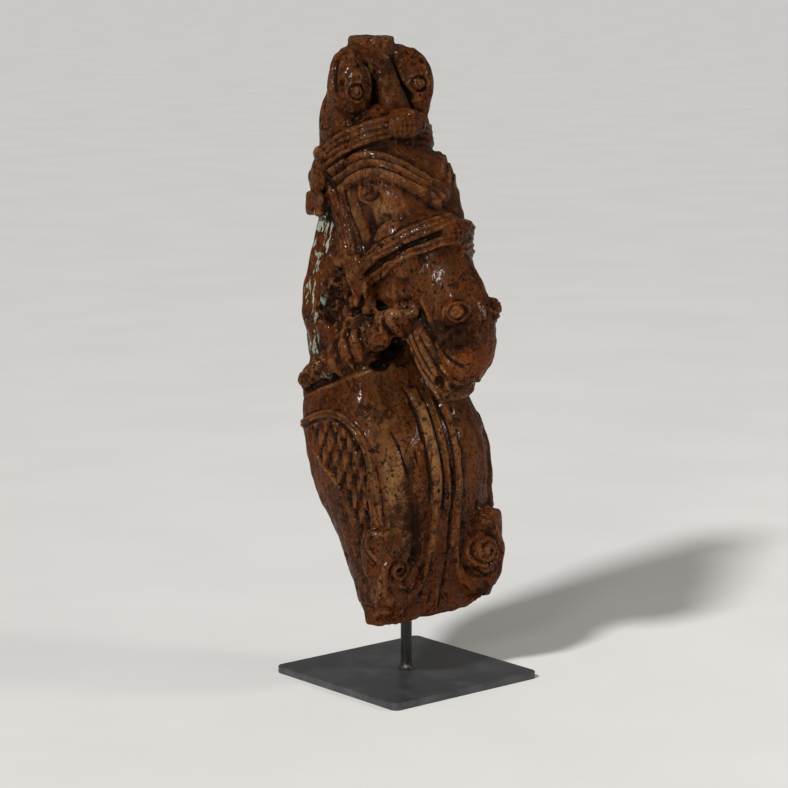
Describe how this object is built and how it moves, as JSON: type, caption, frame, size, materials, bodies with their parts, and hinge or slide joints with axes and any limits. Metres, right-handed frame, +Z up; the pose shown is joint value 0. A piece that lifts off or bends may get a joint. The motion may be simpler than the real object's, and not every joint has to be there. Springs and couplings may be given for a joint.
{
  "type": "carved wooden horse head on a steel stand",
  "caption": "Horse's head, neck and breast carved from one block of old wood, held up by a steel rod on a square steel plate.",
  "frame": {"origin": "centre of the underside of the base plate", "axes": "+Z up, the horse faces -Y, +X is the horse's left; the plate's sides run along X and Y"},
  "size_m": [0.2, 0.2221, 0.679],
  "materials": {
    "old_wood": "dark red-brown carved wood, worn, oiled and partly glossy",
    "black_steel": "blackened steel, satin, faintly brushed",
    "weld_steel": "blackened weld bead with straw-coloured spots"
  },
  "bodies": {
    "root": {"carved_horse": "old_wood", "support_rod": "black_steel", "weld_fillet": "weld_steel", "base_plate": "black_steel"}
  },
  "joints": []
}
